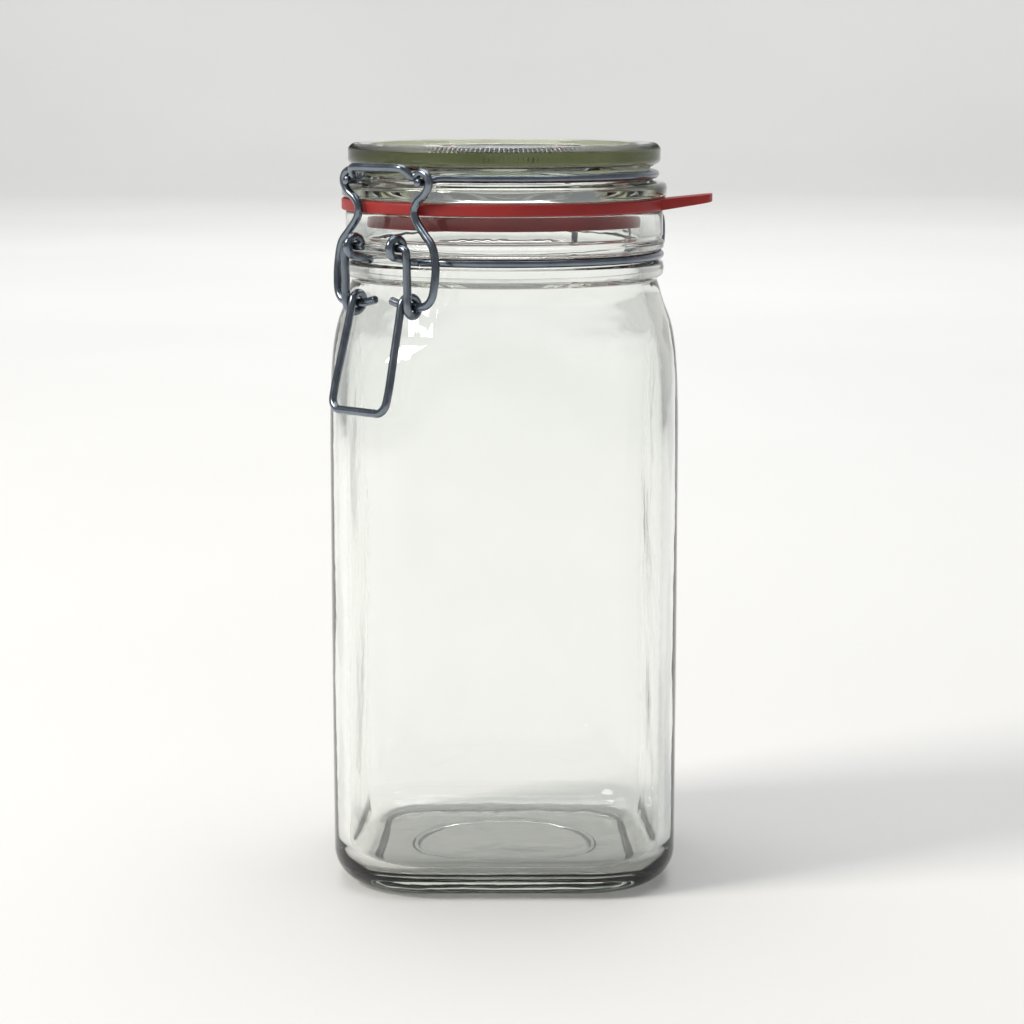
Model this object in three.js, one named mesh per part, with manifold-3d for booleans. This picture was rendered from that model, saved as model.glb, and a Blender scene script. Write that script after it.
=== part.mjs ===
// A clip-top glass canister of 1.9 litres: a square jar with a round neck, a glass lid, a rubber
// gasket and four bent steel wires that hinge the lid at the back and latch it at the front.
// Millimetres, +Z up, origin at the centre of the base. The latch is near the corner between
// the -X and -Y sides and the hinge is near the opposite corner.
import * as THREE from 'three';
import { mergeVertices } from 'three/addons/utils/BufferGeometryUtils.js';
import Module from 'manifold-3d';

const wasm = await Module();
wasm.setup();

// Jar
const BODY_HALF_WIDTH = 55.5;
const BODY_CORNER_RADIUS = 30;
const BASE_EDGE_RADIUS = 11;
const WALL = 5;
const FLOOR_THICKNESS = 6;
const RIM_HEIGHT = 216.6;
const RIM_RADIUS = 51.6;
const MOUTH_RADIUS = 45;
const NECK_RIB_RADIUS = 52;
const NECK_GROOVE_RADIUS = 48.9;
const NECK_WAIST_RADIUS = 49.6;

// Lid and gasket
const LID_TOP = 238.2;
const LID_RIM_BOTTOM = 220.9;
const LID_RIM_RADIUS = 52.8;
const LID_FLANGE_RADIUS = 50.7;
const LID_GROOVE_RADIUS = 47.3;
const GASKET_RADIUS = 52.9;
const GASKET_HOLE_RADIUS = 43.2;
const GASKET_SKIRT_RADIUS = 44.5;
const GASKET_SKIRT_BOTTOM = 211.9;
const GASKET_BOTTOM = 216.9;
const GASKET_TOP = 220.6;
const TAB_REACH = 67.5;
const TAB_WIDTH = 17;
const TAB_THICKNESS = 2.8;
const TAB_ANGLE = -8;

// Wires. Places on them are [n, t, z]: n outwards from the jar's axis towards the latch,
// t sideways and z up. The back hinge is at negative n.
const WIRE_RADIUS = 1.3;
const EYE_RADIUS = 3;
const LATCH_ANGLE = 226.5;
const LEVER_PIVOT = { n: 58.2, z: 207 };
const BAIL_PIVOT = { n: 54.8, z: 189 };
const LID_PIVOT = { n: -58, z: 214 };
const NECK_WIRE_RADIUS = 50.7;
const NECK_WIRE_HEIGHT = 202.4;
const LID_WIRE_RADIUS = 49;
const LID_WIRE_HEIGHT = 228.3;
const EYE_OFFSET = 9.4;
const PEG_OFFSET = 16;
const PEG_HEIGHT = 227.2;
const LEVER_ARM_OFFSET = 13.8;
const LEVER_HANDLE_OFFSET = 11;
const LEVER_HANDLE_SLOPE = 14;

// How finely round shapes are cut into facets
const ROUND_SEGMENTS = 48;
const WIRE_SIDES = 8;
const WIRE_MAX_TURN = 24;
const WIRE_MAX_STEP = 7;

const radians = THREE.MathUtils.degToRad;

const glass = new THREE.MeshStandardMaterial({ color: 0xdfe9e2, roughness: 0.05, metalness: 0 });
glass.transparent = true;
glass.opacity = 0.35;
const lidGlass = glass.clone();
const rubber = new THREE.MeshStandardMaterial({ color: 0xa62a26, roughness: 0.6, metalness: 0 });
const steel = new THREE.MeshStandardMaterial({ color: 0x7f878c, roughness: 0.35, metalness: 1 });

function namedMesh(name, geometry, material) {
  const mesh = new THREE.Mesh(geometry, material.clone());
  mesh.name = name;
  return mesh;
}

// ---- Solids -------------------------------------------------------------------------------

// Distance from the axis to a square outline with rounded corners, at an angle.
function roundedSquareRadius(angle, halfWidth, cornerRadius) {
  if (cornerRadius >= halfWidth) {
    return halfWidth;
  }
  const quarter = Math.PI / 2;
  const turned = ((angle % quarter) + quarter) % quarter;
  const folded = Math.min(turned, quarter - turned);
  const centre = halfWidth - cornerRadius;
  if (halfWidth * Math.tan(folded) <= centre) {
    return halfWidth / Math.cos(folded);
  }
  const along = centre * (Math.cos(folded) + Math.sin(folded));
  const across = centre * (Math.cos(folded) - Math.sin(folded));
  return along + Math.sqrt(cornerRadius ** 2 - across ** 2);
}

// One closed surface through level outlines, capped flat across the first and the last.
function loft(outlines) {
  const positions = [];
  for (const { z, halfWidth, cornerRadius } of outlines) {
    for (let i = 0; i < ROUND_SEGMENTS; i += 1) {
      const angle = (2 * Math.PI * i) / ROUND_SEGMENTS;
      const reach = roundedSquareRadius(angle, halfWidth, cornerRadius);
      positions.push(reach * Math.cos(angle), reach * Math.sin(angle), z);
    }
  }
  const index = [];
  const last = outlines.length - 1;
  for (let row = 0; row < last; row += 1) {
    for (let i = 0; i < ROUND_SEGMENTS; i += 1) {
      const next = (i + 1) % ROUND_SEGMENTS;
      const a = row * ROUND_SEGMENTS + i;
      const b = row * ROUND_SEGMENTS + next;
      index.push(a, b, b + ROUND_SEGMENTS, a, b + ROUND_SEGMENTS, a + ROUND_SEGMENTS);
    }
  }
  const firstCentre = positions.length / 3;
  positions.push(0, 0, outlines[0].z, 0, 0, outlines[last].z);
  for (let i = 0; i < ROUND_SEGMENTS; i += 1) {
    const next = (i + 1) % ROUND_SEGMENTS;
    index.push(firstCentre, next, i);
    index.push(firstCentre + 1, last * ROUND_SEGMENTS + i, last * ROUND_SEGMENTS + next);
  }
  const geometry = new THREE.BufferGeometry();
  geometry.setAttribute('position', new THREE.Float32BufferAttribute(positions, 3));
  geometry.setIndex(index);
  geometry.computeVertexNormals();
  return geometry;
}

// A body of revolution about +Z from [radius, z] points that start and end on the axis.
function turned(profile) {
  const points = profile.map(([radius, z]) => new THREE.Vector2(radius, z));
  return new THREE.LatheGeometry(points, ROUND_SEGMENTS).rotateX(Math.PI / 2);
}

function toManifold(geometry) {
  const bare = geometry.clone();
  bare.deleteAttribute('normal');
  bare.deleteAttribute('uv');
  const merged = mergeVertices(bare, 1e-4);
  const vertProperties = Float32Array.from(merged.attributes.position.array);
  const triVerts = Uint32Array.from(merged.index.array);
  return new wasm.Manifold(new wasm.Mesh({ numProp: 3, vertProperties, triVerts }));
}

function fromManifold(solid) {
  const mesh = solid.getMesh();
  const geometry = new THREE.BufferGeometry();
  geometry.setAttribute('position', new THREE.Float32BufferAttribute(mesh.vertProperties, 3));
  geometry.setIndex(Array.from(mesh.triVerts));
  geometry.computeVertexNormals();
  return geometry;
}

// ---- Glass and rubber ---------------------------------------------------------------------

// The shoulder's outline grows from the neck's circle to the body's rounded square: its half
// width and its reach over the corners follow these [z, half width, corner reach] levels.
const SHOULDER = [
  [191, 51.1, 51.1],
  [187, 52.4, 52.5],
  [181, 54.4, 55.3],
  [174, 55.3, 59.6],
  [165, 55.7, 62.9],
  [156, 55.8, 64.7],
  [145, 55.8, 65.8],
];

function cornerRadiusFor(halfWidth, cornerReach) {
  return (halfWidth * Math.SQRT2 - cornerReach) / (Math.SQRT2 - 1);
}

function circle(radius, z) {
  return { z, halfWidth: radius, cornerRadius: radius };
}

// Outlines round a concave or convex edge at the bottom of a wall, from the flat to the wall.
function bottomEdge(halfWidth, cornerRadius, edgeRadius, z, steps) {
  const outlines = [];
  for (let i = 0; i <= steps; i += 1) {
    const angle = (Math.PI / 2) * (i / steps);
    const inset = edgeRadius * (1 - Math.sin(angle));
    outlines.push({
      z: z + edgeRadius * (1 - Math.cos(angle)),
      halfWidth: halfWidth - inset,
      cornerRadius: cornerRadius - inset,
    });
  }
  return outlines;
}

function jarGeometry() {
  const outer = bottomEdge(BODY_HALF_WIDTH, BODY_CORNER_RADIUS, BASE_EDGE_RADIUS, 0, 5);
  outer.push({ z: 130, halfWidth: BODY_HALF_WIDTH + 0.2, cornerRadius: BODY_CORNER_RADIUS });
  for (const [z, halfWidth, cornerReach] of [...SHOULDER].reverse()) {
    outer.push({ z, halfWidth, cornerRadius: cornerRadiusFor(halfWidth, cornerReach) });
  }
  outer.push(circle(NECK_WAIST_RADIUS, 194.4));
  outer.push(circle(NECK_RIB_RADIUS - 0.8, 195.8));
  outer.push(circle(NECK_RIB_RADIUS, 197));
  outer.push(circle(NECK_RIB_RADIUS, 199));
  outer.push(circle(NECK_RIB_RADIUS - 0.8, 200.1));
  outer.push(circle(NECK_GROOVE_RADIUS, 200.5));
  outer.push(circle(NECK_GROOVE_RADIUS, 204));
  outer.push(circle(NECK_RIB_RADIUS - 0.5, 204.4));
  outer.push(circle(NECK_RIB_RADIUS + 0.1, 205.4));
  outer.push(circle(NECK_RIB_RADIUS - 0.8, 207.3));
  outer.push(circle(RIM_RADIUS, 209.4));
  outer.push(circle(RIM_RADIUS, RIM_HEIGHT - 1.2));
  outer.push(circle(RIM_RADIUS - 1, RIM_HEIGHT));

  const inner = [circle(MOUTH_RADIUS + 0.6, RIM_HEIGHT)];
  inner.push(circle(MOUTH_RADIUS, RIM_HEIGHT - 1.2));
  inner.push(circle(MOUTH_RADIUS, 194));
  for (const [z, halfWidth, cornerReach] of SHOULDER) {
    const cornerRadius = cornerRadiusFor(halfWidth, cornerReach);
    inner.push({ z: z - 1, halfWidth: halfWidth - WALL, cornerRadius: cornerRadius - WALL });
  }
  const innerHalf = BODY_HALF_WIDTH - WALL;
  const innerCorner = BODY_CORNER_RADIUS - WALL;
  inner.push(...bottomEdge(innerHalf, innerCorner, 9, FLOOR_THICKNESS, 3).reverse());
  return loft([...outer, ...inner]);
}

function lidGeometry() {
  return turned([
    [0, 230],
    [20, 229.6],
    [32, 227],
    [38, 222],
    [38.8, 215.6],
    [39.8, 214.6],
    [41.6, 214.6],
    [42.5, 215.6],
    [42.8, LID_RIM_BOTTOM],
    [51.6, LID_RIM_BOTTOM],
    [LID_RIM_RADIUS, 222.1],
    [LID_RIM_RADIUS, 224.4],
    [51.8, 225.6],
    [49.4, 226.2],
    [LID_GROOVE_RADIUS, 227],
    [LID_GROOVE_RADIUS, 230.1],
    [48.8, 231],
    [50.1, 231.9],
    [LID_FLANGE_RADIUS, 233.4],
    [LID_FLANGE_RADIUS, 236.2],
    [49.9, 237.6],
    [48.4, LID_TOP],
    [44, LID_TOP],
    [41.6, LID_TOP - 1.6],
    [0, LID_TOP - 1.6],
  ]);
}

// A flat ring with a thin skirt that centres it in the mouth, and a pull tab that rises a
// little towards its rounded end.
function gasketGeometry() {
  const ring = new THREE.LatheGeometry(
    [
      new THREE.Vector2(GASKET_HOLE_RADIUS, GASKET_SKIRT_BOTTOM),
      new THREE.Vector2(GASKET_SKIRT_RADIUS, GASKET_SKIRT_BOTTOM),
      new THREE.Vector2(GASKET_SKIRT_RADIUS, GASKET_BOTTOM),
      new THREE.Vector2(GASKET_RADIUS - 0.5, GASKET_BOTTOM),
      new THREE.Vector2(GASKET_RADIUS, GASKET_BOTTOM + 0.5),
      new THREE.Vector2(GASKET_RADIUS, GASKET_TOP - 0.5),
      new THREE.Vector2(GASKET_RADIUS - 0.5, GASKET_TOP),
      new THREE.Vector2(GASKET_HOLE_RADIUS, GASKET_TOP),
      new THREE.Vector2(GASKET_HOLE_RADIUS, GASKET_SKIRT_BOTTOM),
    ],
    ROUND_SEGMENTS,
  ).rotateX(Math.PI / 2);

  const half = TAB_WIDTH / 2;
  const corner = 5;
  const outline = new THREE.Shape();
  outline.moveTo(-4, -half);
  outline.lineTo(TAB_REACH - GASKET_RADIUS - corner, -half);
  outline.absarc(TAB_REACH - GASKET_RADIUS - corner, -half + corner, corner, -Math.PI / 2, 0);
  outline.absarc(TAB_REACH - GASKET_RADIUS - corner, half - corner, corner, 0, Math.PI / 2);
  outline.lineTo(-4, half);
  const settings = { depth: TAB_THICKNESS, bevelEnabled: false, curveSegments: 5 };
  const tab = new THREE.ExtrudeGeometry(outline, settings);
  tab.translate(0, 0, -TAB_THICKNESS / 2);
  tab.rotateY(-radians(8));
  tab.translate(GASKET_RADIUS, 0, GASKET_BOTTOM + 2.05);
  tab.rotateZ(radians(TAB_ANGLE));
  return fromManifold(toManifold(ring).add(toManifold(tab)));
}

// ---- Wires --------------------------------------------------------------------------------

// A path through stations that are already spaced as the wire needs them.
class StationPath extends THREE.Curve {
  constructor(stations) {
    super();
    this.stations = stations;
  }

  getPoint(u, target = new THREE.Vector3()) {
    const place = u * (this.stations.length - 1);
    const before = Math.min(Math.floor(place + 1e-9), this.stations.length - 2);
    return target.lerpVectors(this.stations[before], this.stations[before + 1], place - before);
  }

  getPointAt(u, target) {
    return this.getPoint(u, target);
  }

  getTangentAt(u, target = new THREE.Vector3()) {
    const nearest = Math.round(u * (this.stations.length - 1));
    const before = this.stations[Math.max(nearest - 1, 0)];
    const after = this.stations[Math.min(nearest + 1, this.stations.length - 1)];
    return target.subVectors(after, before).normalize();
  }
}

// Stations along a smooth curve: closer together where the wire turns sharply.
function stationsAlong(places) {
  const curve = new THREE.CatmullRomCurve3(places.map((place) => new THREE.Vector3(...place)));
  const fine = curve.getSpacedPoints(Math.round(curve.getLength() / 0.25));
  const stations = [fine[0]];
  let heading = new THREE.Vector3().subVectors(fine[1], fine[0]);
  let travelled = 0;
  for (let i = 1; i < fine.length - 1; i += 1) {
    const ahead = new THREE.Vector3().subVectors(fine[i + 1], fine[i]);
    travelled += ahead.length();
    const turnedBy = THREE.MathUtils.radToDeg(heading.angleTo(ahead));
    if (turnedBy > WIRE_MAX_TURN || travelled > WIRE_MAX_STEP) {
      stations.push(fine[i]);
      heading = ahead;
      travelled = 0;
    }
  }
  stations.push(fine[fine.length - 1]);
  return stations;
}

function wireSection() {
  const section = new THREE.Shape();
  for (let i = 0; i <= WIRE_SIDES; i += 1) {
    const angle = (2 * Math.PI * i) / WIRE_SIDES;
    const x = WIRE_RADIUS * Math.cos(angle);
    const y = WIRE_RADIUS * Math.sin(angle);
    if (i === 0) {
      section.moveTo(x, y);
    } else if (i < WIRE_SIDES) {
      section.lineTo(x, y);
    }
  }
  section.closePath();
  return section;
}

// A whole wire from the places on its +t half, which end on the plane t = 0.
function mirroredWire(half) {
  const otherHalf = half.slice(0, -1).map(([n, t, z]) => [n, -t, z]);
  const stations = stationsAlong([...half, ...otherHalf.reverse()]);
  const extrudePath = new StationPath(stations);
  const settings = { steps: stations.length - 1, bevelEnabled: false, extrudePath };
  return new THREE.ExtrudeGeometry(wireSection(), settings);
}

// Places on a level arc about the jar's axis, by angle from the latch's direction.
function bow(radius, z, fromAngle, toAngle) {
  const count = Math.ceil(Math.abs(toAngle - fromAngle) / 8);
  const places = [];
  for (let i = 0; i <= count; i += 1) {
    const angle = radians(fromAngle + ((toAngle - fromAngle) * i) / count);
    places.push([radius * Math.cos(angle), radius * Math.sin(angle), z]);
  }
  return places;
}

// Places on a turn round a sideways pivot, by angle from outwards up, drifting along it.
function turn(pivot, fromAngle, toAngle, fromT, toT) {
  const count = Math.ceil(Math.abs(toAngle - fromAngle) / 30);
  const places = [];
  for (let i = 0; i <= count; i += 1) {
    const part = i / count;
    const angle = radians(fromAngle + (toAngle - fromAngle) * part);
    const t = fromT + (toT - fromT) * part;
    places.push([pivot.n + EYE_RADIUS * Math.cos(angle), t, pivot.z + EYE_RADIUS * Math.sin(angle)]);
  }
  return places;
}

function neckWireGeometry() {
  return mirroredWire([
    ...turn(LEVER_PIVOT, 190, -90, EYE_OFFSET, EYE_OFFSET),
    [55.2, EYE_OFFSET, 203.5],
    [52.6, EYE_OFFSET + 0.1, 202.7],
    [50.6, EYE_OFFSET + 1.1, NECK_WIRE_HEIGHT],
    ...bow(NECK_WIRE_RADIUS, NECK_WIRE_HEIGHT, 16.5, 156),
    [-48.4, 18.3, NECK_WIRE_HEIGHT],
    [-50.6, 17.5, NECK_WIRE_HEIGHT],
    [-55, 17.5, NECK_WIRE_HEIGHT],
    [-57.3, 17.5, NECK_WIRE_HEIGHT + 0.8],
    [LID_PIVOT.n, 17.5, NECK_WIRE_HEIGHT + 3],
    [LID_PIVOT.n, 17.5, LID_PIVOT.z - 3],
    [LID_PIVOT.n, 16.9, LID_PIVOT.z - 0.9],
    [LID_PIVOT.n, 15, LID_PIVOT.z],
    [LID_PIVOT.n, 8, LID_PIVOT.z],
    [LID_PIVOT.n, 0, LID_PIVOT.z],
  ]);
}

function lidWireGeometry() {
  return mirroredWire([
    [56.2, PEG_OFFSET, PEG_HEIGHT],
    [51.5, PEG_OFFSET, PEG_HEIGHT + 0.2],
    [49.2, PEG_OFFSET + 0.2, PEG_HEIGHT + 0.7],
    [47.5, PEG_OFFSET + 1.1, LID_WIRE_HEIGHT],
    ...bow(LID_WIRE_RADIUS, LID_WIRE_HEIGHT, 24, 160),
    [-47.8, 13.9, LID_WIRE_HEIGHT],
    [-49.8, 13.1, LID_WIRE_HEIGHT],
    [-52.6, 13, LID_WIRE_HEIGHT - 0.2],
    [-54.5, 13, LID_WIRE_HEIGHT - 1.6],
    [-55, 13, LID_WIRE_HEIGHT - 4],
    [-55, 13, LID_PIVOT.z + 4],
    ...turn(LID_PIVOT, 0, -255, 13, 12),
    [-57.3, 10.6, LID_PIVOT.z + 3.3],
    [-57.5, 8, LID_PIVOT.z + 3.3],
    [-57.5, 0, LID_PIVOT.z + 3.3],
  ]);
}

function leverGeometry() {
  return mirroredWire([
    [LEVER_PIVOT.n, 5.2, LEVER_PIVOT.z],
    [LEVER_PIVOT.n, 9, LEVER_PIVOT.z],
    [LEVER_PIVOT.n, 12, LEVER_PIVOT.z],
    [LEVER_PIVOT.n, 13.4, LEVER_PIVOT.z - 0.6],
    [LEVER_PIVOT.n, LEVER_ARM_OFFSET, LEVER_PIVOT.z - 2.2],
    [58, LEVER_ARM_OFFSET, 198],
    [57.85, LEVER_ARM_OFFSET, 192.5],
    ...turn(BAIL_PIVOT, 0, LEVER_HANDLE_SLOPE - 360, LEVER_ARM_OFFSET, LEVER_HANDLE_OFFSET),
    [58.6, 11.1, 186.2],
    [61.6, 11.6, 174.6],
    [64.9, 12.1, 162],
    [65.9, 11.6, 158.2],
    [66.3, 9.6, 156.4],
    [66.3, 6.5, 156.2],
    [66.3, 0, 156.2],
  ]);
}

function bailGeometry() {
  return mirroredWire([
    [BAIL_PIVOT.n, 3.3, BAIL_PIVOT.z + 1.4],
    [BAIL_PIVOT.n, 7, BAIL_PIVOT.z + 0.5],
    [BAIL_PIVOT.n, 10, BAIL_PIVOT.z],
    [BAIL_PIVOT.n, 13, BAIL_PIVOT.z],
    [BAIL_PIVOT.n, 16.5, BAIL_PIVOT.z],
    [54.7, 19.2, 189.8],
    [54.4, 21, 192],
    [54, 21.8, 196.5],
    [53.5, 21.8, 202],
    [53.4, 20.3, 207.7],
    [53.4, 16.7, 211.6],
    [53.4, 13.3, 215.4],
    [53.4, 12.4, 218.6],
    [53.4, 14, 221.4],
    [53.5, 17.4, 223.9],
    [53.6, 19, 226.8],
    [53.6, 18.3, 229.3],
    [53.7, 16, 230.4],
    [54.1, 13.9, 229.4],
    [55, 12.9, 228.9],
    [56.3, 12.2, 230.2],
    [57.2, 11.2, 231.4],
    [57.5, 9, 231.7],
    [57.5, 0, 231.7],
  ]);
}

const canister = new THREE.Group();
canister.add(namedMesh('jar', jarGeometry(), glass));

const lidGroup = new THREE.Group();
lidGroup.add(namedMesh('lid', lidGeometry(), lidGlass));
lidGroup.add(namedMesh('gasket', gasketGeometry(), rubber));
canister.add(lidGroup);

const wires = new THREE.Group();
wires.rotation.z = radians(LATCH_ANGLE);
wires.add(namedMesh('neck_wire', neckWireGeometry(), steel));
wires.add(namedMesh('lid_wire', lidWireGeometry(), steel));
wires.add(namedMesh('lever', leverGeometry(), steel));
wires.add(namedMesh('bail', bailGeometry(), steel));
canister.add(wires);

export default canister;
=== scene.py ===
"""Looks of the clip-top glass canister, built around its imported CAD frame.

Every CAD node is replaced by a finely modelled piece in the same place: smooth glass for the
jar and the lid, a moulded rubber gasket and four round steel wires with rounded ends.
Lengths are metres; the wires' routes are in millimetres, as they are in the CAD.
"""
import math

import bmesh
import bpy
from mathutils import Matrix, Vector


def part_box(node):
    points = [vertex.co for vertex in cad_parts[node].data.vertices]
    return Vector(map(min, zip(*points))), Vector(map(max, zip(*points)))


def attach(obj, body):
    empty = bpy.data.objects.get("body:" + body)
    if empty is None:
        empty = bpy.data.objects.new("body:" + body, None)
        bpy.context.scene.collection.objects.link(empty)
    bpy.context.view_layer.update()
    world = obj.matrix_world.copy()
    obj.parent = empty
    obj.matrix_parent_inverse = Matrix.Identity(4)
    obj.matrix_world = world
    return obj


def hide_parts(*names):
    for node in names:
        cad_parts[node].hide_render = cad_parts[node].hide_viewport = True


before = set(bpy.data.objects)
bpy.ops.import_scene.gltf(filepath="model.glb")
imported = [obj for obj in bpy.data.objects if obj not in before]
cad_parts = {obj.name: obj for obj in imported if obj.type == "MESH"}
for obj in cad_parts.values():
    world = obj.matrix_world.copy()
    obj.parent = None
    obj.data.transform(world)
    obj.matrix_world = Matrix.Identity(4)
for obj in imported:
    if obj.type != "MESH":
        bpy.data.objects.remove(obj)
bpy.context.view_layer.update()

MM = 0.001

# Driving sizes, taken from the frame where a node's box gives them
RIM_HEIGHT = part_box("jar")[1][2] / MM
LID_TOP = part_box("lid")[1][2] / MM
BODY_HALF_WIDTH = 55.5
BODY_CORNER_RADIUS = 30.0
BASE_EDGE_RADIUS = 11.0
WALL = 5.0
FLOOR_THICKNESS = 6.0
RIM_RADIUS = 51.6
MOUTH_RADIUS = 45.0
NECK_RIB_RADIUS = 52.0
NECK_GROOVE_RADIUS = 48.9
NECK_WAIST_RADIUS = 49.6
LID_RIM_BOTTOM = 220.9
LID_RIM_RADIUS = 52.8
LID_FLANGE_RADIUS = 50.7
LID_GROOVE_RADIUS = 47.3
KNURL_COUNT = 210
KNURL_DEPTH = 0.42
JAR_SEGMENTS = 240
GASKET_SEGMENTS = 240
GASKET_RADIUS = 52.9
GASKET_HOLE_RADIUS = 43.2
GASKET_SKIRT_RADIUS = 44.5
GASKET_SKIRT_BOTTOM = 211.9
GASKET_BOTTOM = 216.9
GASKET_TOP = 220.6
TAB_REACH = 67.5
TAB_WIDTH = 17.0
TAB_ANGLE = -8.0

# Wires. Places on them are (n, t, z): n outwards from the jar's axis towards the latch,
# t sideways and z up. The back hinge is at negative n.
WIRE_RADIUS = 1.3
WIRE_SIDES = 20
WIRE_STEP = 0.45
EYE_RADIUS = 3.0
LATCH_ANGLE = math.radians(226.5)
LEVER_PIVOT = (58.2, 207.0)
BAIL_PIVOT = (54.8, 189.0)
LID_PIVOT = (-58.0, 214.0)
NECK_WIRE_RADIUS = 50.7
NECK_WIRE_HEIGHT = 202.4
LID_WIRE_RADIUS = 49.0
LID_WIRE_HEIGHT = 228.3
EYE_OFFSET = 9.4
PEG_OFFSET = 16.0
PEG_HEIGHT = 227.2
LEVER_ARM_OFFSET = 13.8
LEVER_HANDLE_OFFSET = 11.0
LEVER_HANDLE_SLOPE = 14.0

# Camera, fitted to the photograph's viewing angle
CAMERA_DISTANCE = 0.930
CAMERA_ABOVE_LID = 0.025
CAMERA_PITCH = math.radians(8.94)
CAMERA_SIDEWAYS = 0.0025
CAMERA_LENS = 100.0


# ---- Materials ----------------------------------------------------------------------------

class Nodes:
    """A new node material with short helpers for its nodes and links."""

    def __init__(self, name):
        self.material = bpy.data.materials.new(name)
        self.material.use_nodes = True
        self.tree = self.material.node_tree
        self.bsdf = self.tree.nodes["Principled BSDF"]
        self.output = self.tree.nodes["Material Output"]
        self.coords = self.add("ShaderNodeTexCoord")

    def add(self, kind, **settings):
        node = self.tree.nodes.new(kind)
        for key, value in settings.items():
            setattr(node, key, value)
        return node

    def link(self, source, target):
        self.tree.links.new(source, target)

    def noise(self, scale, detail=3.0, roughness=0.5, stretch=None, source="Object"):
        node = self.add("ShaderNodeTexNoise")
        node.inputs["Scale"].default_value = scale
        node.inputs["Detail"].default_value = detail
        node.inputs["Roughness"].default_value = roughness
        vector = self.coords.outputs[source]
        if stretch:
            mapping = self.add("ShaderNodeMapping")
            mapping.inputs["Scale"].default_value = stretch
            self.link(vector, mapping.inputs["Vector"])
            vector = mapping.outputs["Vector"]
        self.link(vector, node.inputs["Vector"])
        return node.outputs["Fac"]

    def ramp(self, factor, stops):
        node = self.add("ShaderNodeValToRGB")
        ramp = node.color_ramp
        while len(ramp.elements) < len(stops):
            ramp.elements.new(0.5)
        for element, (position, colour) in zip(ramp.elements, stops):
            element.position = position
            element.color = (*colour, 1.0)
        self.link(factor, node.inputs["Fac"])
        return node.outputs["Color"]

    def spread(self, factor, low, high, start=0.3, end=0.7):
        node = self.add("ShaderNodeMapRange")
        limits = {"From Min": start, "From Max": end, "To Min": low, "To Max": high}
        for key, value in limits.items():
            node.inputs[key].default_value = value
        self.link(factor, node.inputs["Value"])
        return node.outputs["Result"]

    def bump(self, height, distance, strength, before=None):
        node = self.add("ShaderNodeBump")
        node.inputs["Distance"].default_value = distance
        node.inputs["Strength"].default_value = strength
        self.link(height, node.inputs["Height"])
        if before:
            self.link(before, node.inputs["Normal"])
        return node.outputs["Normal"]

    def past(self, height, radius):
        """1 above a height and outside a radius about the axis, with soft borders."""
        split = self.add("ShaderNodeSeparateXYZ")
        self.link(self.coords.outputs["Object"], split.inputs["Vector"])
        flat = self.add("ShaderNodeCombineXYZ")
        self.link(split.outputs["X"], flat.inputs["X"])
        self.link(split.outputs["Y"], flat.inputs["Y"])
        length = self.add("ShaderNodeVectorMath", operation="LENGTH")
        self.link(flat.outputs["Vector"], length.inputs[0])
        both = self.add("ShaderNodeMath", operation="MULTIPLY")
        above = self.spread(split.outputs["Z"], 0.0, 1.0, start=height, end=height + 0.0015)
        outside = self.spread(length.outputs["Value"], 0.0, 1.0, start=radius, end=radius + 0.0015)
        self.link(above, both.inputs[0])
        self.link(outside, both.inputs[1])
        return both.outputs["Value"]

    def blend(self, factor, low, high):
        node = self.add("ShaderNodeMix", data_type="RGBA")
        self.link(factor, node.inputs[0])
        self.link(low, node.inputs[6])
        self.link(high, node.inputs[7])
        return node.outputs[2]

    def set(self, **values):
        for key, value in values.items():
            self.bsdf.inputs[key.replace("_", " ")].default_value = value


def glass_material(name, wave, tint, density, edge=None):
    """Pressed soda glass: slightly wavy, faintly green where the light's path in it is long.
    edge is a height and a radius, in metres, past which the base colour is painted dark olive:
    painted shade standing in for the dark look of a thick glass edge."""
    m = Nodes(name)
    m.set(Roughness=0.02, IOR=1.5)
    m.bsdf.inputs["Transmission Weight"].default_value = 1.0
    smear = m.noise(38.0, detail=5.0, roughness=0.6)
    colour = m.ramp(smear, [(0.25, (0.965, 0.975, 0.96)), (0.75, (0.99, 0.995, 0.985))])
    # Painted shade: past the edge height and radius the base colour turns dark olive, for the dark
    # look of thick glass rather than a colour of the glass.
    if edge:
        colour = m.blend(m.past(*edge), colour,
                         m.ramp(smear, [(0.3, (0.14, 0.15, 0.07)), (0.7, (0.28, 0.30, 0.17))]))
    m.link(colour, m.bsdf.inputs["Base Color"])
    m.link(m.spread(smear, 0.0, 0.035, start=0.45, end=0.75), m.bsdf.inputs["Roughness"])
    slow = m.bump(m.noise(22.0, detail=1.0), 0.0016, wave)
    fine = m.bump(m.noise(95.0, detail=2.0), 0.0002, wave, slow)
    m.link(fine, m.bsdf.inputs["Normal"])
    absorb = m.add("ShaderNodeVolumeAbsorption")
    absorb.inputs["Color"].default_value = tint
    absorb.inputs["Density"].default_value = density
    m.link(absorb.outputs["Volume"], m.output.inputs["Volume"])
    return m.material


def rubber_material():
    """Soft red rubber with a faint bloom and a fine matt grain."""
    m = Nodes("red_rubber")
    m.set(IOR=1.5)
    patches = m.noise(70.0, detail=4.0, roughness=0.6)
    m.link(m.ramp(patches, [(0.2, (0.25, 0.008, 0.008)), (0.55, (0.34, 0.014, 0.012)),
                            (0.85, (0.40, 0.030, 0.024))]), m.bsdf.inputs["Base Color"])
    m.link(m.spread(patches, 0.42, 0.62), m.bsdf.inputs["Roughness"])
    grain = m.bump(m.noise(2600.0, detail=2.0), 0.00008, 0.5)
    m.link(m.bump(m.noise(260.0, detail=2.0), 0.0001, 0.4, grain), m.bsdf.inputs["Normal"])
    return m.material


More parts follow.
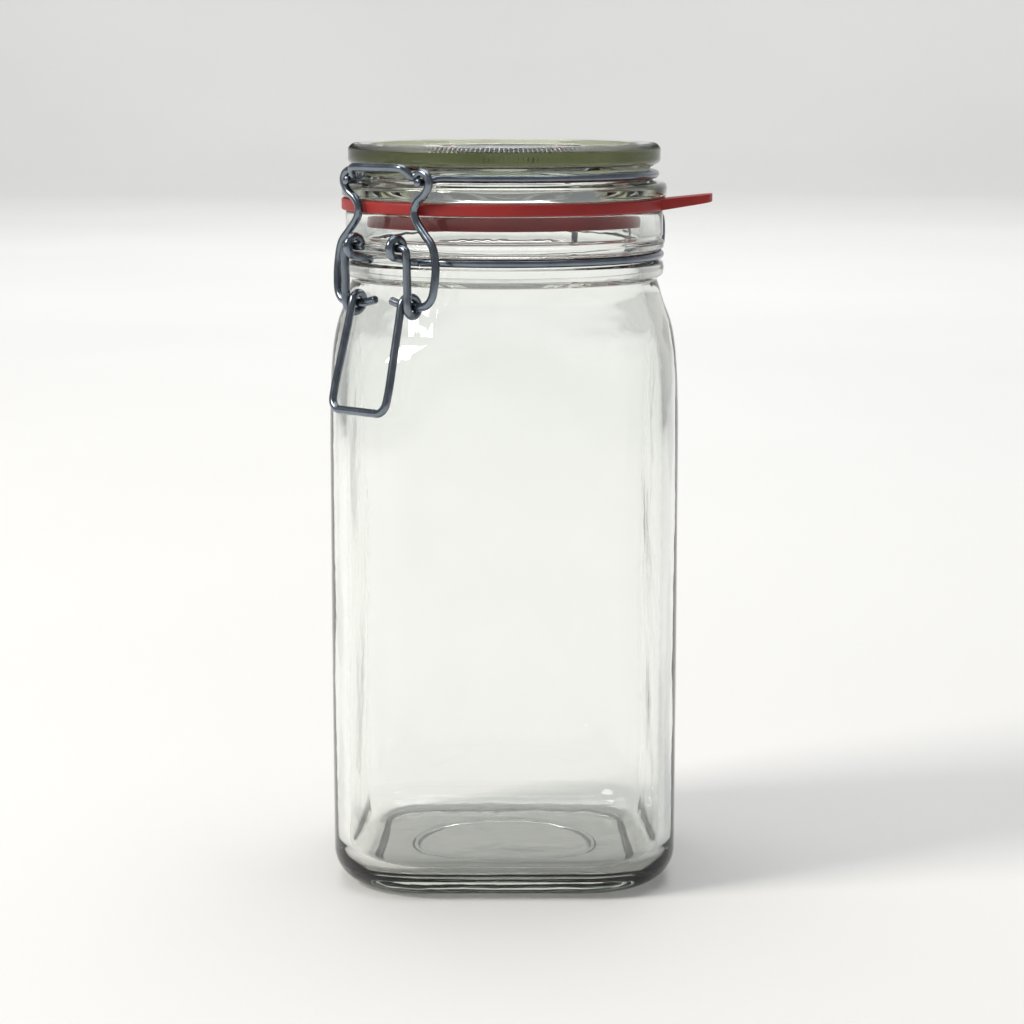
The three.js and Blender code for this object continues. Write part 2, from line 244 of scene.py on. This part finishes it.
def steel_material(name):
    """Drawn galvanised wire: dull zinc patches, fine lines along it and a few dark scuffs."""
    m = Nodes(name)
    m.set(Metallic=1.0)
    patches = m.noise(160.0, detail=4.0, roughness=0.65)
    lines = m.noise(1.0, detail=3.0, stretch=(180.0, 9000.0, 1.0), source="UV")
    m.link(m.ramp(patches, [(0.2, (0.15, 0.18, 0.21)), (0.5, (0.20, 0.23, 0.27)),
                            (0.8, (0.26, 0.29, 0.33))]), m.bsdf.inputs["Base Color"])
    m.link(m.spread(patches, 0.16, 0.28), m.bsdf.inputs["Roughness"])
    drawn = m.bump(lines, 0.00003, 0.4)
    m.link(m.bump(m.noise(420.0, detail=3.0), 0.00004, 0.15, drawn), m.bsdf.inputs["Normal"])
    return m.material


def floor_material():
    m = Nodes("studio_floor")
    cloud = m.noise(1.2, detail=2.0)
    m.link(m.ramp(cloud, [(0.3, (0.80, 0.79, 0.77)), (0.7, (0.84, 0.83, 0.81))]),
           m.bsdf.inputs["Base Color"])
    m.set(Roughness=0.7)
    return m.material


# ---- Mesh helpers -------------------------------------------------------------------------

def new_piece(name, vertices, faces, material):
    mesh = bpy.data.meshes.new(name)
    mesh.from_pydata(vertices, [], faces)
    mesh.validate()
    mesh.materials.append(material)
    mesh.shade_smooth()
    piece = bpy.data.objects.new(name, mesh)
    bpy.context.scene.collection.objects.link(piece)
    return piece


def rounded(points, steps=5):
    """Replaces each inner corner of a polyline by an arc. A point is (coordinates, radius)."""
    path = []
    for i, (place, radius) in enumerate(points):
        here = Vector(place)
        if radius <= 0 or i in (0, len(points) - 1):
            path.append(here)
            continue
        back = Vector(points[i - 1][0]) - here
        ahead = Vector(points[i + 1][0]) - here
        half = back.angle(ahead) / 2
        cut = min(radius / math.tan(half), back.length * 0.49, ahead.length * 0.49)
        start, end = here + back.normalized() * cut, here + ahead.normalized() * cut
        for k in range(steps + 1):
            s = k / steps
            path.append((1 - s) ** 2 * start + 2 * s * (1 - s) * here + s ** 2 * end)
    return path


def split_long(path, longest):
    """Adds points to a polyline so that no step is longer than a length."""
    out = [path[0]]
    for a, b in zip(path, path[1:]):
        count = max(1, math.ceil((b - a).length / longest))
        out.extend(a.lerp(b, (k + 1) / count) for k in range(count))
    return out


def rounded_square_radius(angle, half_width, corner_reach):
    """Distance to a rounded square's outline whose corners reach a given distance."""
    corner = (half_width * math.sqrt(2) - corner_reach) / (math.sqrt(2) - 1)
    if corner >= half_width - 1e-6:
        return half_width
    turned = angle % (math.pi / 2)
    folded = min(turned, math.pi / 2 - turned)
    centre = half_width - corner
    if half_width * math.tan(folded) <= centre:
        return half_width / math.cos(folded)
    along = centre * (math.cos(folded) + math.sin(folded))
    across = centre * (math.cos(folded) - math.sin(folded))
    return along + math.sqrt(corner ** 2 - across ** 2)


def shell(name, path, segments, material, reach):
    """A closed surface round the axis. reach gives the radius at an angle for a path point,
    and the path's first and last points lie on the axis."""
    vertices, faces = [], []
    for place in path[1:-1]:
        for i in range(segments):
            angle = 2 * math.pi * i / segments
            radius, z = reach(place, angle)
            vertices.append((radius * math.cos(angle) * MM, radius * math.sin(angle) * MM, z * MM))
    rows = len(path) - 2
    for row in range(rows - 1):
        for i in range(segments):
            a, b = row * segments + i, row * segments + (i + 1) % segments
            faces.append((a, b, b + segments, a + segments))
    first, last = len(vertices), len(vertices) + 1
    vertices.extend([(0, 0, path[0].z * MM), (0, 0, path[-1].z * MM)])
    end = (rows - 1) * segments
    for i in range(segments):
        j = (i + 1) % segments
        faces.append((first, j, i))
        faces.append((last, end + i, end + j))
    return new_piece(name, vertices, faces, material)


# ---- Jar ----------------------------------------------------------------------------------

# The shoulder grows from the neck's circle to the body's rounded square: its height, its half
# width at the flat sides and its reach over the corners. It stays clear of the lever's eyes.
SHOULDER = [
    (191.0, 50.8, 50.8),
    (187.0, 52.0, 52.1),
    (181.0, 54.2, 55.0),
    (174.0, 55.3, 59.6),
    (165.0, 55.7, 62.9),
    (156.0, 55.8, 64.7),
    (145.0, 55.8, 65.8),
]


def corner_reach(half_width, corner_radius):
    return (half_width - corner_radius) * math.sqrt(2) + corner_radius


def round_level(radius, z, rounding=0.0):
    return ((radius, radius, z), rounding)


def edge_levels(half_width, corner_radius, edge_radius, z, steps):
    """Levels round the bottom edge of a wall, from the flat up to the wall."""
    levels = []
    for k in range(steps + 1):
        angle = math.pi / 2 * k / steps
        inset = edge_radius * (1 - math.sin(angle))
        half = half_width - inset
        reach = corner_reach(half, corner_radius - inset)
        levels.append(((half, reach, z + edge_radius * (1 - math.cos(angle))), 0.0))
    return levels


def smooth_levels(levels, count):
    """A Catmull-Rom curve through levels, as plain points."""
    return [(tuple(p), 0.0) for p in catmull_rom([Vector(v) for v in levels], count)]


def catmull_rom(points, per_span):
    """A centripetal Catmull-Rom curve through the points."""
    ends = [points[0] * 2 - points[1], *points, points[-1] * 2 - points[-2]]
    out = []
    for p0, p1, p2, p3 in zip(ends, ends[1:], ends[2:], ends[3:]):
        t0, t1 = 0.0, math.sqrt(max((p1 - p0).length, 1e-9))
        t2 = t1 + math.sqrt((p2 - p1).length)
        t3 = t2 + math.sqrt(max((p3 - p2).length, 1e-9))
        for k in range(per_span):
            t = t1 + (t2 - t1) * k / per_span
            a1 = p0 * ((t1 - t) / (t1 - t0)) + p1 * ((t - t0) / (t1 - t0))
            a2 = p1 * ((t2 - t) / (t2 - t1)) + p2 * ((t - t1) / (t2 - t1))
            a3 = p2 * ((t3 - t) / (t3 - t2)) + p3 * ((t - t2) / (t3 - t2))
            b1 = a1 * ((t2 - t) / (t2 - t0)) + a2 * ((t - t0) / (t2 - t0))
            b2 = a2 * ((t3 - t) / (t3 - t1)) + a3 * ((t - t1) / (t3 - t1))
            out.append(b1 * ((t2 - t) / (t2 - t1)) + b2 * ((t - t1) / (t2 - t1)))
    out.append(points[-1])
    return out


def jar_piece(material):
    body = [(BODY_HALF_WIDTH, corner_reach(BODY_HALF_WIDTH, BODY_CORNER_RADIUS), 12.0),
            (BODY_HALF_WIDTH + 0.2, corner_reach(BODY_HALF_WIDTH + 0.2, BODY_CORNER_RADIUS), 70.0),
            (BODY_HALF_WIDTH + 0.2, corner_reach(BODY_HALF_WIDTH + 0.2, BODY_CORNER_RADIUS), 128.0)]
    shoulder = [(half, reach, z) for z, half, reach in reversed(SHOULDER)]
    neck_foot = [(50.1, 50.1, 193.2)]
    outer = [((0, 0, 0.7), 0.0), round_level(28.6, 0.7), round_level(29.4, 0.3, 0.3),
             round_level(30.4, 0.3, 0.3), round_level(31.2, 0.7, 0.3),
             ((40.6, corner_reach(40.6, 15.1), 0.7), 0.5),
             ((41.8, corner_reach(41.8, 16.3), 0.0), 0.4)]
    outer += edge_levels(BODY_HALF_WIDTH, BODY_CORNER_RADIUS, BASE_EDGE_RADIUS, 0.0, 16)
    outer += smooth_levels(body + shoulder + neck_foot, 6)
    outer += [
        round_level(NECK_WAIST_RADIUS, 194.6, 1.0),
        round_level(NECK_RIB_RADIUS - 0.3, 196.0, 1.2),
        round_level(NECK_RIB_RADIUS, 198.0, 2.0),
        round_level(NECK_RIB_RADIUS - 0.3, 200.0, 0.8),
        round_level(NECK_GROOVE_RADIUS, 200.6, 0.8),
        round_level(NECK_GROOVE_RADIUS, 204.0, 0.8),
        round_level(NECK_RIB_RADIUS, 204.5, 0.8),
        round_level(NECK_RIB_RADIUS, 206.6, 1.0),
        round_level(NECK_RIB_RADIUS - 1.0, 207.6, 1.0),
        round_level(RIM_RADIUS, 208.8, 1.0),
        round_level(RIM_RADIUS, RIM_HEIGHT, 1.0),
        round_level(MOUTH_RADIUS, RIM_HEIGHT, 1.2),
    ]
    inner_half = BODY_HALF_WIDTH - WALL
    inner_corner = BODY_CORNER_RADIUS - WALL
    wall = [(inner_half, corner_reach(inner_half, inner_corner), 100.0),
            (inner_half, corner_reach(inner_half, inner_corner), 19.0)]
    inside = [(MOUTH_RADIUS, MOUTH_RADIUS, 200.0), (MOUTH_RADIUS + 0.2, MOUTH_RADIUS + 0.2, 194.0)]
    inside += [(half - WALL, reach - WALL, z - 1.0) for z, half, reach in SHOULDER]
    outer += smooth_levels(inside + wall, 6)
    outer += reversed(edge_levels(inner_half, inner_corner, 9.0, FLOOR_THICKNESS, 12))
    outer += [round_level(34.0, FLOOR_THICKNESS), round_level(20.0, FLOOR_THICKNESS + 0.1),
              ((0, 0, FLOOR_THICKNESS + 0.2), 0.0)]
    path = split_long(rounded(outer), 3.0)

    def reach(place, angle):
        return rounded_square_radius(angle, place.x, max(place.y, place.x)), place.z

    return shell("glass_jar", path, JAR_SEGMENTS, material, reach)


# ---- Lid and gasket -----------------------------------------------------------------------

def lid_piece(material):
    """A pressed glass disc with a knurled top edge, a wire groove and a rim that locates it."""
    points = [
        ((0, 0, 230.0), 0.0),
        ((20.0, 0, 229.7), 6.0),
        ((33.0, 0, 227.5), 6.0),
        ((38.1, 0, 221.0), 3.0),
        ((38.8, 0, 214.6), 0.9),
        ((42.6, 0, 214.6), 0.9),
        ((42.8, 0, LID_RIM_BOTTOM), 0.4),
        ((LID_RIM_RADIUS, 0, LID_RIM_BOTTOM), 1.3),
        ((LID_RIM_RADIUS, 0, 225.4), 1.8),
        ((LID_GROOVE_RADIUS + 1.2, 0, 226.3), 0.8),
        ((LID_GROOVE_RADIUS, 0, 227.2), 0.8),
        ((LID_GROOVE_RADIUS, 0, 230.4), 0.8),
        ((LID_FLANGE_RADIUS, 0, 232.0), 1.8),
        ((LID_FLANGE_RADIUS, 0, 236.6), 2.2),
        ((50.0, 0, LID_TOP - 0.8), 0.5),
        ((49.2, 0, LID_TOP - 0.1), 0.7),
        ((47.2, 0, LID_TOP), 0.8),
        ((44.2, 0, LID_TOP - 0.2), 0.8),
        ((43.2, 0, LID_TOP - 1.5), 0.8),
        ((30.0, 0, LID_TOP - 1.7), 0.0),
        ((29.4, 0, LID_TOP - 1.2), 0.3),
        ((28.2, 0, LID_TOP - 1.2), 0.3),
        ((27.6, 0, LID_TOP - 1.7), 0.3),
        ((0, 0, LID_TOP - 1.8), 0.0),
    ]
    path = split_long(rounded(points, 6), 1.6)
    knurl_low, knurl_high = 47.8, LID_FLANGE_RADIUS + 0.1

    def reach(place, angle):
        radius, z = place.x, place.z
        if z > LID_TOP - 2.4 and knurl_low < radius < knurl_high:
            across = (radius - knurl_low) / (knurl_high - knurl_low)
            swell = math.sin(math.pi * across)
            dip = KNURL_DEPTH * swell * (1 - math.cos(KNURL_COUNT * angle))
            radius -= 0.5 * dip
            z -= dip
        return radius, z

    return shell("glass_lid", path, KNURL_COUNT * 4, material, reach)


def gasket_piece(material):
    """A moulded flat ring and, out of its edge, a pull tab that thins and rises."""
    low, high = GASKET_BOTTOM, GASKET_TOP
    section = rounded([
        ((GASKET_HOLE_RADIUS, 0, (low + high) / 2), 0.0),
        ((GASKET_HOLE_RADIUS, 0, GASKET_SKIRT_BOTTOM), 0.3),
        ((GASKET_SKIRT_RADIUS, 0, GASKET_SKIRT_BOTTOM), 0.3),
        ((GASKET_SKIRT_RADIUS, 0, low), 0.3),
        ((GASKET_RADIUS, 0, low), 0.7),
        ((GASKET_RADIUS, 0, high), 0.7),
        ((GASKET_HOLE_RADIUS, 0, high), 0.3),
        ((GASKET_HOLE_RADIUS, 0, (low + high) / 2), 0.0),
    ])[:-1]
    segments = GASKET_SEGMENTS
    vertices, faces = [], []
    for i in range(segments):
        angle = 2 * math.pi * i / segments
        for p in section:
            vertices.append((p.x * math.cos(angle) * MM, p.x * math.sin(angle) * MM, p.z * MM))
    size = len(section)
    for i in range(segments):
        for k in range(size):
            a, b = i * size + k, i * size + (k + 1) % size
            c, d = ((i + 1) % segments) * size + k, ((i + 1) % segments) * size + (k + 1) % size
            faces.append((a, c, d, b))
    ring = new_piece("rubber_gasket", vertices, faces, material)

    half = TAB_WIDTH / 2
    outline = rounded([
        ((GASKET_RADIUS - 3.0, -half - 1.5, 0), 0.0),
        ((GASKET_RADIUS + 1.0, -half, 0), 2.0),
        ((TAB_REACH, -half + 0.6, 0), 5.5),
        ((TAB_REACH, half - 0.6, 0), 5.5),
        ((GASKET_RADIUS + 1.0, half, 0), 2.0),
        ((GASKET_RADIUS - 3.0, half + 1.5, 0), 0.0),
    ], 8)
    tab = bmesh.new()
    bottom = [tab.verts.new((p.x, p.y, 0.0)) for p in outline]
    top = [tab.verts.new((p.x, p.y, 1.0)) for p in outline]
    tab.faces.new(list(reversed(bottom)))
    tab.faces.new(top)
    count = len(outline)
    for k in range(count):
        j = (k + 1) % count
        tab.faces.new((bottom[k], bottom[j], top[j], top[k]))
    for vertex in tab.verts:
        out = (vertex.co.x - GASKET_RADIUS) / (TAB_REACH - GASKET_RADIUS)
        thickness = 3.4 - 0.9 * max(out, 0.0)
        middle = GASKET_BOTTOM + 2.0 + 2.0 * out
        vertex.co.z = middle + (vertex.co.z - 0.5) * thickness
        vertex.co *= MM
    tab_mesh = bpy.data.meshes.new("tab")
    tab.to_mesh(tab_mesh)
    tab.free()
    tab_piece = bpy.data.objects.new("tab", tab_mesh)
    bpy.context.scene.collection.objects.link(tab_piece)
    tab_piece.rotation_euler.z = math.radians(TAB_ANGLE)
    join = ring.modifiers.new("tab", "BOOLEAN")
    join.operation = "UNION"
    join.solver = "EXACT"
    join.object = tab_piece
    apply_modifiers(ring)
    bpy.data.objects.remove(tab_piece)
    soften = ring.modifiers.new("edges", "BEVEL")
    soften.width = 0.35 * MM
    soften.segments = 3
    soften.limit_method = "ANGLE"
    soften.angle_limit = math.radians(40)
    apply_modifiers(ring)
    ring.data.shade_smooth()
    ring.data.set_sharp_from_angle(angle=math.radians(50))
    return ring


def apply_modifiers(piece):
    bpy.context.view_layer.update()
    graph = bpy.context.evaluated_depsgraph_get()
    finished = bpy.data.meshes.new_from_object(piece.evaluated_get(graph))
    piece.modifiers.clear()
    piece.data = finished


# ---- Wires --------------------------------------------------------------------------------

def bow(radius, z, start, end):
    """Places on a level arc about the jar's axis, by angle from the latch's direction."""
    count = math.ceil(abs(end - start) / 8)
    angles = [math.radians(start + (end - start) * i / count) for i in range(count + 1)]
    return [(radius * math.cos(a), radius * math.sin(a), z) for a in angles]


def turn(pivot, start, end, from_t, to_t):
    """Places on a turn round a sideways pivot, by angle from outwards up, drifting along it."""
    count = math.ceil(abs(end - start) / 30)
    places = []
    for i in range(count + 1):
        part = i / count
        angle = math.radians(start + (end - start) * part)
        places.append((pivot[0] + EYE_RADIUS * math.cos(angle), from_t + (to_t - from_t) * part,
                       pivot[1] + EYE_RADIUS * math.sin(angle)))
    return places


def wire_piece(name, half, material):
    """A whole round wire with rounded ends, from the places on its +t half."""
    route = half + [(n, -t, z) for n, t, z in reversed(half[:-1])]
    c, s = math.cos(LATCH_ANGLE), math.sin(LATCH_ANGLE)
    points = [Vector((c * n - s * t, s * n + c * t, z)) for n, t, z in route]
    fine = catmull_rom(points, 24)
    line = [fine[0]]
    for p in fine[1:]:
        if (p - line[-1]).length > WIRE_STEP:
            line.append(p)
    line[-1] = fine[-1]

    tangents = []
    for i in range(len(line)):
        tangents.append((line[min(i + 1, len(line) - 1)] - line[max(i - 1, 0)]).normalized())
    side = tangents[0].orthogonal().normalized()
    cap = WIRE_RADIUS * 0.35
    cap_steps = 4
    rings, travelled = [], [0.0]
    for i, (place, tangent) in enumerate(zip(line, tangents)):
        side = (side - tangent * side.dot(tangent)).normalized()
        if i:
            travelled.append(travelled[-1] + (place - line[i - 1]).length)
        rings.append((place, side, tangent, 1.0))
    rings[0] = (line[0] + tangents[0] * cap, *rings[0][1:])
    rings[-1] = (line[-1] - tangents[-1] * cap, *rings[-1][1:])
    for k in range(1, cap_steps + 1):
        lift = math.pi / 2 * k / cap_steps
        swell, out = max(math.cos(lift), 0.05), cap * (1 - math.sin(lift))
        rings.insert(0, (line[0] + tangents[0] * out, rings[0][1], tangents[0], swell))
        rings.append((line[-1] - tangents[-1] * out, side, tangents[-1], swell))
        travelled.insert(0, travelled[0])
        travelled.append(travelled[-1])

    vertices, faces, uvs = [], [], []
    total = len(rings)
    for centre, across, tangent, swell in rings:
        up = tangent.cross(across)
        for k in range(WIRE_SIDES):
            angle = 2 * math.pi * k / WIRE_SIDES
            reach = WIRE_RADIUS * swell
            outwards = across * math.cos(angle) + up * math.sin(angle)
            vertices.append((centre + outwards * reach) * MM)
    for r in range(total - 1):
        for k in range(WIRE_SIDES):
            a, b = r * WIRE_SIDES + k, r * WIRE_SIDES + (k + 1) % WIRE_SIDES
            faces.append((a, b, b + WIRE_SIDES, a + WIRE_SIDES))
            v = (travelled[r] * MM, travelled[r + 1] * MM)
            u = (k / WIRE_SIDES * 0.008, (k + 1) / WIRE_SIDES * 0.008)
            uvs.extend([(v[0], u[0]), (v[0], u[1]), (v[1], u[1]), (v[1], u[0])])
    faces.append(tuple(reversed(range(WIRE_SIDES))))
    faces.append(tuple(range((total - 1) * WIRE_SIDES, total * WIRE_SIDES)))
    uvs.extend([(0.0, 0.0)] * (2 * WIRE_SIDES))
    piece = new_piece(name, vertices, faces, material)
    layer = piece.data.uv_layers.new(name="along_wire")
    for loop, uv in zip(layer.data, uvs):
        loop.uv = uv
    return piece


def neck_wire_route():
    hinge_n, hinge_z = LID_PIVOT
    return [
        *turn(LEVER_PIVOT, 190, -90, EYE_OFFSET, EYE_OFFSET),
        (55.2, EYE_OFFSET, 203.5),
        (52.6, EYE_OFFSET + 0.1, 202.7),
        (50.6, EYE_OFFSET + 1.1, NECK_WIRE_HEIGHT),
        *bow(NECK_WIRE_RADIUS, NECK_WIRE_HEIGHT, 16.5, 156),
        (-48.4, 18.3, NECK_WIRE_HEIGHT),
        (-50.6, 17.5, NECK_WIRE_HEIGHT),
        (-55.0, 17.5, NECK_WIRE_HEIGHT),
        (-57.3, 17.5, NECK_WIRE_HEIGHT + 0.8),
        (hinge_n, 17.5, NECK_WIRE_HEIGHT + 3.0),
        (hinge_n, 17.5, hinge_z - 3.0),
        (hinge_n, 16.9, hinge_z - 0.9),
        (hinge_n, 15.0, hinge_z),
        (hinge_n, 8.0, hinge_z),
        (hinge_n, 0.0, hinge_z),
    ]


def lid_wire_route():
    hinge_z = LID_PIVOT[1]
    return [
        (56.2, PEG_OFFSET, PEG_HEIGHT),
        (51.5, PEG_OFFSET, PEG_HEIGHT + 0.2),
        (49.2, PEG_OFFSET + 0.2, PEG_HEIGHT + 0.7),
        (47.5, PEG_OFFSET + 1.1, LID_WIRE_HEIGHT),
        *bow(LID_WIRE_RADIUS, LID_WIRE_HEIGHT, 24, 160),
        (-47.8, 13.9, LID_WIRE_HEIGHT),
        (-49.8, 13.1, LID_WIRE_HEIGHT),
        (-52.6, 13.0, LID_WIRE_HEIGHT - 0.2),
        (-54.5, 13.0, LID_WIRE_HEIGHT - 1.6),
        (-55.0, 13.0, LID_WIRE_HEIGHT - 4.0),
        (-55.0, 13.0, hinge_z + 4.0),
        *turn(LID_PIVOT, 0, -255, 13, 12),
        (-57.3, 10.6, hinge_z + 3.3),
        (-57.5, 8.0, hinge_z + 3.3),
        (-57.5, 0.0, hinge_z + 3.3),
    ]


def lever_route():
    n, z = LEVER_PIVOT
    return [
        (n, 5.2, z),
        (n, 9.0, z),
        (n, 12.0, z),
        (n, 13.4, z - 0.6),
        (n, LEVER_ARM_OFFSET, z - 2.2),
        (58.0, LEVER_ARM_OFFSET, 198.0),
        (57.85, LEVER_ARM_OFFSET, 192.5),
        *turn(BAIL_PIVOT, 0, LEVER_HANDLE_SLOPE - 360, LEVER_ARM_OFFSET, LEVER_HANDLE_OFFSET),
        (58.6, 11.1, 186.2),
        (61.6, 11.6, 174.6),
        (64.9, 12.1, 162.0),
        (65.9, 11.6, 158.2),
        (66.3, 9.6, 156.4),
        (66.3, 6.5, 156.2),
        (66.3, 0.0, 156.2),
    ]


def bail_route():
    n, z = BAIL_PIVOT
    return [
        (n, 3.3, z + 1.4),
        (n, 7.0, z + 0.5),
        (n, 10.0, z),
        (n, 13.0, z),
        (n, 16.5, z),
        (54.7, 19.2, 189.8),
        (54.4, 21.0, 192.0),
        (54.0, 21.8, 196.5),
        (53.5, 21.8, 202.0),
        (53.4, 20.3, 207.7),
        (53.4, 16.7, 211.6),
        (53.4, 13.3, 215.4),
        (53.4, 12.4, 218.6),
        (53.4, 14.0, 221.4),
        (53.5, 17.4, 223.9),
        (53.6, 19.0, 226.8),
        (53.6, 18.3, 229.3),
        (53.7, 16.0, 230.4),
        (54.1, 13.9, 229.4),
        (55.0, 12.9, 228.9),
        (56.3, 12.2, 230.2),
        (57.2, 11.2, 231.4),
        (57.5, 9.0, 231.7),
        (57.5, 0.0, 231.7),
    ]


# ---- Stage --------------------------------------------------------------------------------

def stage_floor():
    """A pale floor that curves up into a pale wall all round, far from the object."""
    segments, flat_radius, wall_radius, wall_top = 96, 5.0, 6.5, 3.5
    bend = wall_radius - flat_radius
    profile = [(0.5, 0.0), (flat_radius, 0.0)]
    for k in range(1, 9):
        angle = math.pi / 2 * k / 8
        profile.append((flat_radius + bend * math.sin(angle), bend * (1 - math.cos(angle))))
    profile.append((wall_radius, wall_top))
    vertices, faces = [], []
    for radius, z in profile:
        for i in range(segments):
            angle = 2 * math.pi * i / segments
            vertices.append((radius * math.cos(angle), radius * math.sin(angle), z))
    for row in range(len(profile) - 1):
        for i in range(segments):
            a, b = row * segments + i, row * segments + (i + 1) % segments
            faces.append((a, a + segments, b + segments, b))
    faces.append(tuple(range(segments)))
    floor = new_piece("studio_floor", vertices, faces, floor_material())


def area_light(name, place, target, size, power, colour=(1.0, 1.0, 1.0)):
    data = bpy.data.lights.new(name, "AREA")
    data.shape = "RECTANGLE"
    data.size, data.size_y = size
    data.energy = power
    data.color = colour
    light = bpy.data.objects.new(name, data)
    light.location = place
    light.rotation_euler = (Vector(target) - Vector(place)).to_track_quat("-Z", "Y").to_euler()
    bpy.context.scene.collection.objects.link(light)
    return light


def stage_lights():
    """A soft box overhead, a broad warm key from the front and a wash on the back wall."""
    middle = (0.0, 0.0, 0.12)
    area_light("key", (-1.9, -0.8, 1.7), middle, (0.8, 0.8), 44.0, (1.0, 0.97, 0.92))
    area_light("overhead", (0.0, 0.25, 2.0), middle, (1.8, 1.8), 24.0)
    area_light("back_wash", (0.0, 2.2, 3.2), (0.0, 5.5, 0.3), (2.5, 1.0), 110.0)
    world = bpy.data.worlds.new("studio_world")
    bpy.context.scene.world = world
    world.use_nodes = True
    background = world.node_tree.nodes["Background"]
    background.inputs["Color"].default_value = (0.80, 0.86, 0.92, 1.0)
    background.inputs["Strength"].default_value = 0.30
    bpy.context.scene.view_settings.view_transform = "Standard"


def stage_camera():
    data = bpy.data.cameras.new("camera")
    data.lens = CAMERA_LENS
    data.sensor_width = 36.0
    data.clip_end = 50.0
    camera = bpy.data.objects.new("camera", data)
    camera.location = (CAMERA_SIDEWAYS, -CAMERA_DISTANCE, LID_TOP * MM + CAMERA_ABOVE_LID)
    camera.rotation_euler = (math.pi / 2 - CAMERA_PITCH, 0.0, 0.0)
    bpy.context.scene.collection.objects.link(camera)
    bpy.context.scene.camera = camera


# ---- Assembly -----------------------------------------------------------------------------

def place_piece(piece, body, node):
    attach(piece, body)
    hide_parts(node)


stage_camera()
stage_lights()
stage_floor()

body_glass = glass_material("jar_glass", 0.35, (0.64, 0.70, 0.56, 1.0), 8.0)
# The lid's outer flange gets the painted dark olive shade.
lid_glass = glass_material("lid_glass", 0.12, (0.60, 0.65, 0.50, 1.0), 12.0,
                           edge=(0.2305, 0.0485))
rubber = rubber_material()
steel = steel_material("wire_steel")

place_piece(jar_piece(body_glass), "jar_body", "jar")
place_piece(lid_piece(lid_glass), "lid", "lid")
place_piece(gasket_piece(rubber), "lid", "gasket")
for node, body, route in (("neck_wire", "jar_body", neck_wire_route),
                          ("lid_wire", "lid", lid_wire_route),
                          ("lever", "lever", lever_route),
                          ("bail", "bail", bail_route)):
    place_piece(wire_piece(f"{node}_steel", route(), steel), body, node)
